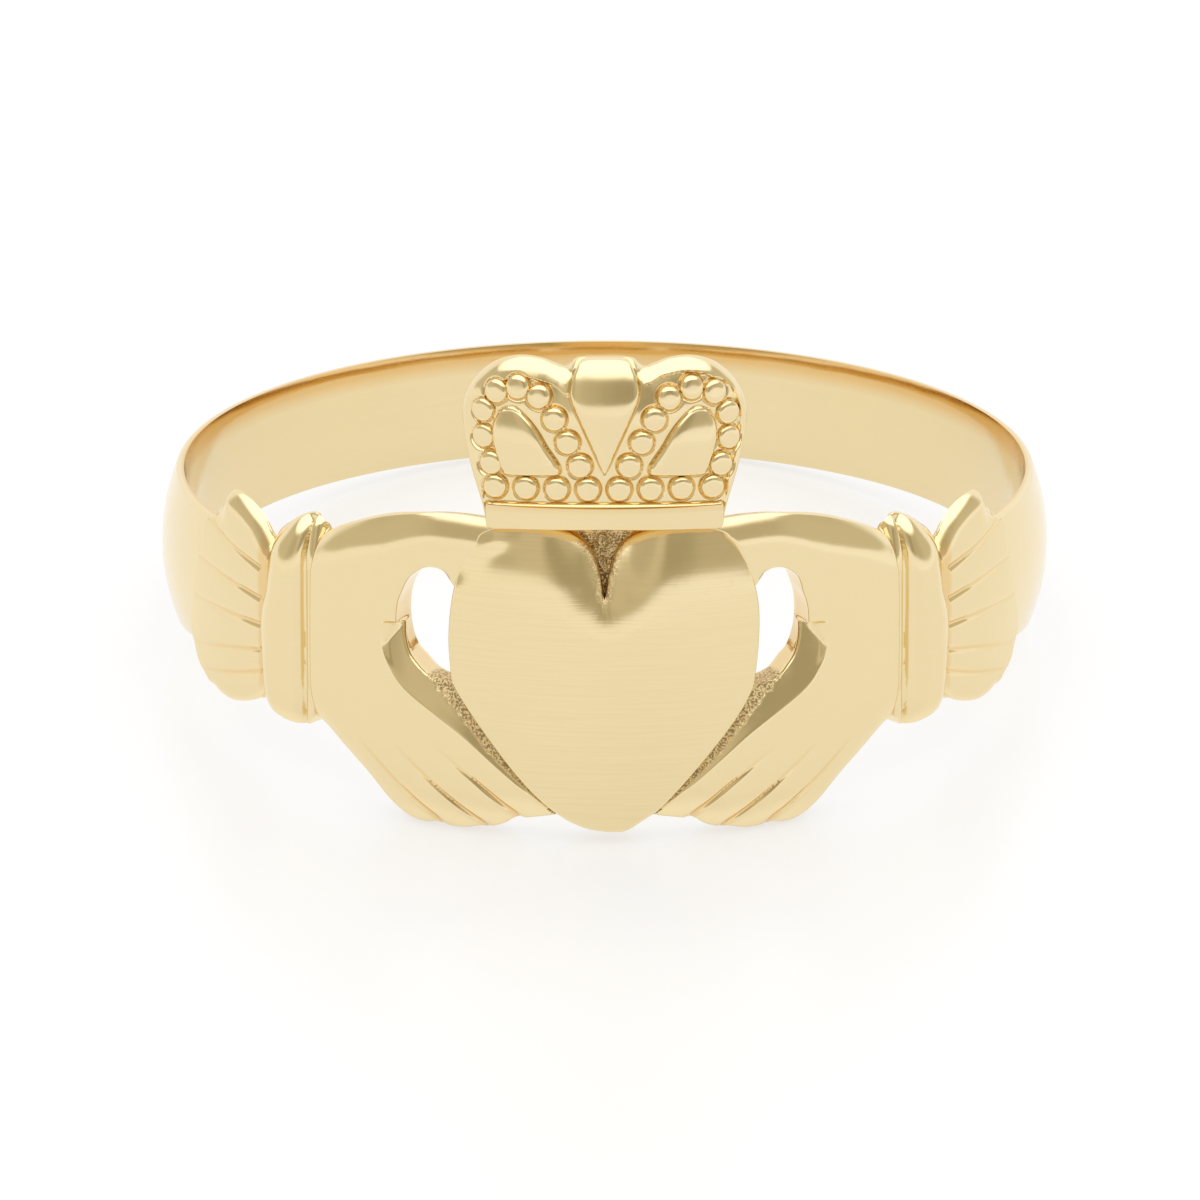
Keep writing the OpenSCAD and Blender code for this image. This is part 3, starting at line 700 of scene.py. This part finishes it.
# painted shade: deeper amber in the grooves between the pleats and near the roll, fading out towards the
# flare's far end
def flareBounceShade(turn, up, inset):
    f = flareShape
    deep = sum(pleatCut(*nearLine(turn, up, line)) for line in pleatLines)
    root = easeBetween(*f["rootTurn"], turn) * f["rootGlow"] * easeBetween(*f["rootUp"], np.abs(up))
    return np.clip(deep * f["cutGlow"] + root, 0, 1) * easeBetween(*f["glowTurn"], turn)


def mirroredShape(shape):
    middle = (-shape["middle"][0], shape["middle"][1])
    return {**shape, "outline": [(-turn, up) for turn, up in shape["outline"]], "middle": middle}


# the same function on either side of the heart
def facing(function):
    return lambda turn, up, inset: function(np.abs(turn), up, inset)


pleatShadeMarks = {"bounceShadeMask": facing(flareBounceShade)}
for side, shapeOf in (("Right", dict), ("Left", mirroredShape)):
    makePlate("cuffRoll" + side, shapeOf(rollShape), facing(rollFront), polished)
    makePlate("flare" + side, shapeOf(flareShape), facing(flareFront), polished, pleatShadeMarks)
print("cuffs made")

bandShape = {
    "top": 9.995, "crest": -0.374, "fall": 0.35, "fallOver": 1.7,  # it has fallen by fall after fallOver
    "edge": 0.06, "innerEdge": 0.04, "start": 43.0, "cols": 300, "rows": 40, "rearRows": 18,
    # how far behind the axis, height of the upper edge, depth of the lower edge
    "edges": [(-8.0, 1.33, 1.50), (-5.4, 1.33, 1.52), (-4.2, 1.33, 1.60), (-3.0, 1.33, 1.80),
              (-1.5, 1.33, 1.97), (0.0, 1.33, 2.02), (1.5, 1.33, 1.86), (3.0, 1.33, 1.64),
              (5.0, 1.33, 1.42), (7.0, 1.33, 1.36), (10.0, 1.33, 1.33)],
    "blur": 0.8, "blurSteps": 17,  # a mean over this far each way rounds the table's corners
    "glow": 0.65, "glowBelow": (0.62, 0.3),  # warm light inside, under the upper edge
}


# the band: a D-shaped section, a parabola in height over the straight bore, carried round the back;
# its width follows the table of edges
def makeBand():
    b = bandShape
    turn = np.linspace(b["start"], 360 - b["start"], b["cols"])
    behind = -np.cos(np.radians(turn)) * flatRadius
    table = np.array(b["edges"])
    near = behind + np.linspace(-b["blur"], b["blur"], b["blurSteps"])[:, None]
    high = np.interp(near, table[:, 0], table[:, 1]).mean(0)
    low = -np.interp(near, table[:, 0], table[:, 2]).mean(0)
    share = (0.5 - 0.5 * np.cos(np.linspace(0, math.pi, b["rows"])))[:, None]
    up = low + (high - low) * share
    face = b["top"] - b["fall"] * ((up - b["crest"]) / b["fallOver"]) ** 2
    face = face - rollOff(np.minimum(share, 1 - share) * (high - low), b["edge"], b["edge"])
    rear = np.linspace(1, 0, b["rearRows"])[:, None]
    upRear = low + (high - low) * rear
    inset = np.minimum(rear, 1 - rear) * (high - low)
    inner = boreRadius + rollOff(inset, b["innerEdge"], b["innerEdge"])
    glow = b["glow"] * easeBetween(high - b["glowBelow"][0], high - b["glowBelow"][1], upRear)
    ups = np.vstack([up, upRear])
    places = onRing(np.broadcast_to(turn, ups.shape), ups, np.vstack([face, inner]))
    makePiece("band", places, {"bounceShadeMask": np.vstack([np.zeros(up.shape), glow])}, polished)


makeBand()
print("band made")

crownHalf = [(14.4, 2.72), (14.45, 2.95), (14.7, 3.35), (15.5, 3.85), (16.5, 4.35), (17.4, 4.8),
             (18.05, 5.17), (18.1, 5.55), (17.5, 5.95), (16.2, 6.30), (13.9, 6.62), (11.0, 6.77),
             (8.2, 6.74), (6.2, 6.62), (5.1, 6.56), (4.4, 6.62), (3.9, 6.72), (2.9, 6.78)]
crownShape = {
    "outline": [(0, 2.95), (6.0, 2.93), (8.5, 2.74), *crownHalf, (0, 6.79), *mirrored(crownHalf),
                (-8.5, 2.74), (-6.0, 2.93)],
    "middle": (0, 4.6), "cols": 780, "rows": 100, "rearRows": 22, "crowd": 1.3, "draft": 0.2,
    "edge": 0.08, "topEdge": 0.24, "back": boreRadius + 0.18,
    "floor": 10.33, "rim": 10.42, "topWidth": 1.35, "topBend": 2.35,
    # widths of the rim: on the left, where the outer beads melt into it, on the right and along the top
    "rimLeft": 0.38, "rimRight": 0.13, "rimTop": 0.26, "rimTopUp": 6.25,
    "rimLeast": 0.02, "rimUp": (3.6, 4.3), "rimStep": 0.08,
    "footDepth": 0.32, "footUp": (3.22, 3.02), "cutDepth": 0.045, "cutWidth": 0.03,
    "cutGlow": 0.35, "footGlow": (3.2, 3.0),
}
crownTop = smoothLine([(19.0, 4.9), *crownHalf[6:], (0, 6.79), *mirrored(crownHalf[6:]), (-19.0, 4.9)],
                      80, False)
ornamentRadius = 10.35  # the crown's ornaments are placed by millimetres across at this radius
ornamentLean = 0.5      # the share of the crown's lean that petals and beads follow
ornament = {
    "cols": 200, "rows": 44, "crowd": 1.6, "edge": 0.07, "wallRows": 5, "rearRows": 6,
    "back": crownShape["floor"] - 0.5,  # sunk into the crown's plate
}
fanHalf = [(0.25, 4.83), (0.5, 5.40), (0.735, 5.98), (0.745, 6.25), (0.66, 6.55), (0.5, 6.75)]
fanShape = {
    "outline": [(0, 4.30), *fanHalf, (0, 6.785), *[(-x, up) for x, up in reversed(fanHalf)]],
    "middle": (0, 5.9), "top": 10.50, "crest": 6.785, "bevel": (1.27, 2.08), "lip": 0.04, "lipWidth": 0.06,
}
petalShape = {
    "outline": [(2.40, 5.50), (2.29, 5.67), (2.08, 5.75), (1.89, 5.68), (1.64, 5.43), (1.44, 5.15),
                (1.28, 4.86), (1.08, 4.57), (0.98, 4.38), (1.04, 4.25), (1.46, 4.22), (2.11, 4.21),
                (2.24, 4.31), (2.34, 4.57), (2.45, 4.93), (2.47, 5.25)],
    "middle": (1.95, 4.8), "top": 10.47, "crest": 5.75, "bevel": (0.9, 2.4), "lip": 0.04, "lipWidth": 0.07,
}
beadShape = {
    "size": 0.272, "stand": 0.125, "dome": 0.13, "archPower": 5, "foot": -0.25, "footWidth": 0.98,
    "around": 36, "rows": 12, "crowd": 0.7,
    # painted warm shade round each bead's foot
    "glow": 0.3, "glowUnder": (0.03, -0.05),
    "row": [(x, 3.93) for x in np.linspace(-2.41, 2.37, 8)],
    "right": [(0.54, 4.46), (0.81, 4.99), (1.09, 5.50), (1.42, 5.96), (1.93, 6.17), (2.46, 6.03),
              (2.77, 5.54), (2.78, 4.98), (2.57, 4.42)],
    "left": [(-0.54, 4.46), (-0.81, 4.99), (-1.10, 5.51), (-1.45, 5.99), (-1.93, 6.18), (-2.42, 6.05),
             (-2.72, 5.60), (-2.70, 5.02), (-2.50, 4.45)],
}
beadPlaces = np.array([*beadShape["row"], *beadShape["right"], *beadShape["left"]])


# the turn at which a place lies so many millimetres across the crown
def turnAt(across):
    return np.degrees(np.asarray(across) / ornamentRadius)


def inTurns(table, side=1):
    return [(float(turnAt(side * x)), up) for x, up in table]


# the crown leans back towards its scalloped top
def crownLean(turn, up):
    away, _ = nearLine(turn, up, crownTop)
    return rollOff(np.abs(away), crownShape["topWidth"], crownShape["topBend"])


# 1 in the narrow grooves round the beads, the fan and the petals, and a bell of the distance beside them
def crownGroove(turn, up):
    across = np.radians(turn) * ornamentRadius
    away = np.full(turn.shape, np.inf)
    for x, y in beadPlaces:
        away = np.minimum(away, np.abs(np.hypot(across - x, up - y) - beadShape["size"]))
    for table, side in ((fanShape["outline"], 1), (petalShape["outline"], 1), (petalShape["outline"], -1)):
        line = smoothLine(inTurns(table + table[:1], side), 90, False)
        away = np.minimum(away, np.abs(nearLine(turn, up, line)[0]))
    return bell(away, crownShape["cutWidth"])


# the plate of the crown: a floor behind the beads and a raised rim along the outline, less the lean,
# the grooves and the step down to its foot
def crownFront(turn, up, inset):
    c = crownShape
    width = np.where(turn < 0, c["rimLeft"], c["rimRight"]) * easeBetween(*c["rimUp"], up) + c["rimLeast"]
    width = np.where(up > c["rimTopUp"], np.maximum(width, c["rimTop"]), width)
    rim = easeBetween(width + c["rimStep"], width, inset)
    face = c["floor"] + (c["rim"] - c["floor"]) * rim - crownLean(turn, up)
    return face - c["cutDepth"] * crownGroove(turn, up) - c["footDepth"] * easeBetween(*c["footUp"], up)


# painted shade: deeper amber in the grooves round the ornaments and on the plate's foot under the bar
def crownBounceShade(turn, up, inset):
    foot = easeBetween(*crownShape["footGlow"], up)
    return np.clip(crownGroove(turn, up) * crownShape["cutGlow"] + foot, 0, 1)


makePlate("crownPlate", crownShape, crownFront, polished, {"bounceShadeMask": crownBounceShade})

barShape = {
    "outline": [(14.4, 3.06), (14.5, 3.30), (14.4, 3.54), (13.9, 3.59), (10.0, 3.61), (5.0, 3.63),
                (0, 3.64), (-5.0, 3.63), (-10.0, 3.61), (-13.9, 3.59), (-14.4, 3.54), (-14.5, 3.30),
                (-14.4, 3.06), (-14.0, 2.99), (-13.3, 2.97), (-10.0, 2.99), (-5.0, 3.01), (0, 3.02),
                (5.0, 3.01), (10.0, 2.99), (13.3, 2.97), (14.0, 2.99)],
    "middle": (0, 3.31), "cols": 420, "rows": 40, "crowd": 1.3, "edge": 0.05,
    "back": crownShape["back"] + 0.008,
    "top": 10.48, "roll": (0.07, 0.09), "crest": 3.64,
    "bevel": 0.13, "bevelSlope": 0.75, "bevelBend": 0.06,
    # a painted dark reflection: a brown line under the bevel; and painted warm shade along the top and the
    # foot
    "line": 0.9, "darkReflectionUp": 3.54, "darkReflectionWidth": 0.022, "darkReflectionTurn": (14, 9),
    "topGlow": 0.2, "topGlowUp": (3.34, 3.5), "footGlow": 0.4, "footGlowUp": (3.03, 2.99),
}


# a flat bar with rolled edges, less a rounded bevel along its top
def barFront(turn, up, inset):
    b = barShape
    above = np.clip(b["bevel"] - (b["crest"] - up), 0, 1)
    bevel = b["bevelSlope"] * (np.sqrt(above**2 + b["bevelBend"] ** 2) - b["bevelBend"])
    return b["top"] - rollOff(inset, *b["roll"]) - bevel


# painted dark reflection as a brown line under the bevel, and painted warm shade along the bar's top and
# foot
def barBounceShade(turn, up, inset):
    b = barShape
    line = b["line"] * bell(up - b["darkReflectionUp"], b["darkReflectionWidth"]) * easeBetween(*b["darkReflectionTurn"], np.abs(turn))
    foot = b["footGlow"] * easeBetween(*b["footGlowUp"], up)
    top = b["topGlow"] * easeBetween(*b["topGlowUp"], up)
    return np.clip(foot + top + line, 0, 1)


makePlate("crownBar", barShape, barFront, polished, {"bounceShadeMask": barBounceShade})


# the face of the fan or a petal: flat, less the roll towards its crest and a fine lip along its edge
def ornamentFront(shape, lean):
    def front(turn, up, inset):
        face = shape["top"] - crownLean(turn, up) * lean - rollOff(shape["crest"] - up, *shape["bevel"])
        return face - shape["lip"] * np.exp(-inset / shape["lipWidth"])
    return front


for name, shape, side, lean in (("crownFan", fanShape, 1, 0), ("petalRight", petalShape, 1, ornamentLean),
                                ("petalLeft", petalShape, -1, ornamentLean)):
    outline = inTurns(shape["outline"], side)
    placed = {**ornament, "outline": outline, "middle": inTurns([shape["middle"]], side)[0]}
    makePlate(name, placed, ornamentFront(shape, lean), polished)


# the beads: low round domes. A dome's height is a flattened arch, the root of 1 less the fifth power of the
# distance from its middle.
def makeBeads():
    b = beadShape
    out = np.linspace(0, 1, b["rows"]) ** b["crowd"]
    arch = (1 - out ** b["archPower"]) ** 0.5 * b["dome"] + b["stand"] - b["dome"]
    out = np.concatenate([out, [b["footWidth"], 0.0]])
    arch = np.concatenate([arch, [b["foot"], b["foot"]]])
    spin = np.linspace(0, 2 * math.pi, b["around"], endpoint=False)
    place = beadPlaces[:, None, None, :]
    turn = turnAt(place[..., 0] + b["size"] * out[:, None] * np.cos(spin))
    up = place[..., 1] + b["size"] * out[:, None] * np.sin(spin)
    middles = crownLean(turnAt(beadPlaces[:, 0]), beadPlaces[:, 1]) * ornamentLean
    lean = crownLean(turn, up) * ornamentLean + middles[:, None, None]
    places = onRing(turn, up, crownShape["floor"] - lean + arch[:, None])
    rows, around = len(out), b["around"]
    index = np.arange(rows * around).reshape(rows, around)
    index[0], index[-1] = index[0, 0], index[-1, 0]
    far = np.roll(index, -1, 1)
    quads = np.stack([index[1:-2], index[2:-1], far[2:-1], far[1:-2]], -1).reshape(-1, 4)
    tops = np.stack([index[0], index[1], far[1]], -1)
    feet = np.stack([index[-1], far[-2], index[-2]], -1)
    shift = np.arange(len(beadPlaces))[:, None, None] * rows * around
    others = [*(tops + shift).reshape(-1, 3).tolist(), *(feet + shift).reshape(-1, 3).tolist()]
    # painted shade: deeper amber round the foot of each bead
    bounceShadeMask = np.broadcast_to(easeBetween(*b["glowUnder"], arch)[:, None], turn.shape) * b["glow"]
    quads = (quads + shift).reshape(-1, 4)
    dress("beads", makeMesh("beads", places.reshape(-1, 3), quads, others, {"bounceShadeMask": bounceShadeMask}), polished)


makeBeads()
print("crown made")

stageLook = {
    "floorSize": 0.7, "floorDrop": 0.00003,
    "tone": 0.22, "glow": (0.620, 0.622, 0.630, 1), "gloss": 0.13, "blur": 0.32,
}


def grey(tone):
    return (tone, tone, tone, 1)


# a pale floor: matt paint that glows a little, with a soft sheen
def makeFloor():
    half, z = stageLook["floorSize"] / 2, -stageLook["floorDrop"]
    corners = [(-half, -half, z), (half, -half, z), (half, half, z), (-half, half, z)]
    mesh = bpy.data.meshes.new("floor")
    mesh.from_pydata(corners, [], [(0, 1, 2, 3)])
    floor = bpy.data.objects.new("floor", mesh)
    bpy.context.scene.collection.objects.link(floor)
    material = bpy.data.materials.new("paleFloor")
    material.use_nodes = True
    material.node_tree.nodes.clear()
    bench = Wire(material.node_tree)
    paint = bench.add("ShaderNodeBsdfDiffuse", None, {"Color": grey(stageLook["tone"])})
    glow = bench.add("ShaderNodeEmission", None, {"Color": stageLook["glow"], "Strength": 1.0})
    sockets = {"Color": grey(stageLook["gloss"]), "Roughness": stageLook["blur"]}
    sheen = bench.add("ShaderNodeBsdfGlossy", None, sockets)
    both = bench.add("ShaderNodeAddShader", None, {0: paint, 1: glow})
    both = bench.add("ShaderNodeAddShader", None, {0: both, 1: sheen})
    bench.add("ShaderNodeOutputMaterial", None, {"Surface": both})
    mesh.materials.append(material)


# soft studio light all round: white low down and behind, a bright sheet overhead, and a greyer room in
# front of the ring above the horizon, lighter a little to the left of the middle and darker to its right
studio = {
    "whiteLeft": (1.03, 1.02, 1.00, 1), "whiteRight": (1.07, 1.08, 1.12, 1),
    "overhead": (1.75, 1.75, 1.75, 1),
    "room": (0.56, 0.51, 0.40, 1), "sides": (0.66, 0.62, 0.51, 1), "sidesFrom": (0.3, 0.8),
    "pale": (0.66, 0.61, 0.49, 1), "paleAside": -0.22, "paleFade": (0.004, 0.024),
    "dusk": (0.43, 0.39, 0.28, 1), "duskAside": 0.16, "duskFade": (0.010, 0.04),
    "horizon": (0.165, 0.225), "ceiling": (0.64, 0.78), "front": (0.30, 0.60), "leftToRight": (-0.5, 0.7),
}


def makeStudio():
    s = studio
    world = bpy.data.worlds.new("studio")
    bpy.context.scene.world = world
    world.use_nodes = True
    world.node_tree.nodes.clear()
    bench = Wire(world.node_tree)
    way = bench.add("ShaderNodeTexCoord", output="Generated")
    parts = [bench.add("ShaderNodeSeparateXYZ", None, {0: way}, output=k) for k in range(3)]
    aside, towards, height = parts
    room = height.ease(*s["horizon"]) * (1 - towards.ease(*s["front"]))
    left, right = aside - s["paleAside"], aside - s["duskAside"]
    pale = 1 - (left * left).ease(*s["paleFade"])
    dusk = 1 - (right * right).ease(*s["duskFade"])
    tone = (aside * aside).ease(*s["sidesFrom"]).blend(s["room"], s["sides"])
    tone = dusk.blend(pale.blend(tone, s["pale"]), s["dusk"])
    colour = aside.ease(*s["leftToRight"]).blend(s["whiteLeft"], s["whiteRight"])
    colour = height.ease(*s["ceiling"]).blend(room.blend(colour, tone), s["overhead"])
    light = bench.add("ShaderNodeBackground", None, {"Color": colour, "Strength": 1.0})
    bench.add("ShaderNodeOutputWorld", None, {"Surface": light})


# the camera stands in front, 17.5 degrees above the ring's middle plane, and aims a little below its middle
cameraLook = {
    "rise": 17.5, "away": 0.300, "lens": 398.3, "lower": 0.00183, "left": 0.000104, "clip": (0.01, 5),
}


def makeCamera():
    camera = bpy.data.objects.new("camera", bpy.data.cameras.new("camera"))
    bpy.context.scene.collection.objects.link(camera)
    rise = math.radians(cameraLook["rise"]) + math.asin(holeAxis[1])
    back = Vector((0, -math.cos(rise), math.sin(rise)))
    upwards = Vector((0, math.sin(rise), math.cos(rise)))
    middle = Vector(holePlace)
    camera.location = middle + back * cameraLook["away"]
    aim = middle - upwards * cameraLook["lower"] - Vector((cameraLook["left"], 0, 0))
    camera.rotation_euler = (aim - camera.location).to_track_quat("-Z", "Y").to_euler()
    camera.data.lens = cameraLook["lens"]
    camera.data.clip_start, camera.data.clip_end = cameraLook["clip"]
    bpy.context.scene.camera = camera


makeFloor()
makeStudio()
makeCamera()
bpy.context.scene.view_settings.view_transform = "Standard"
print("stage made")
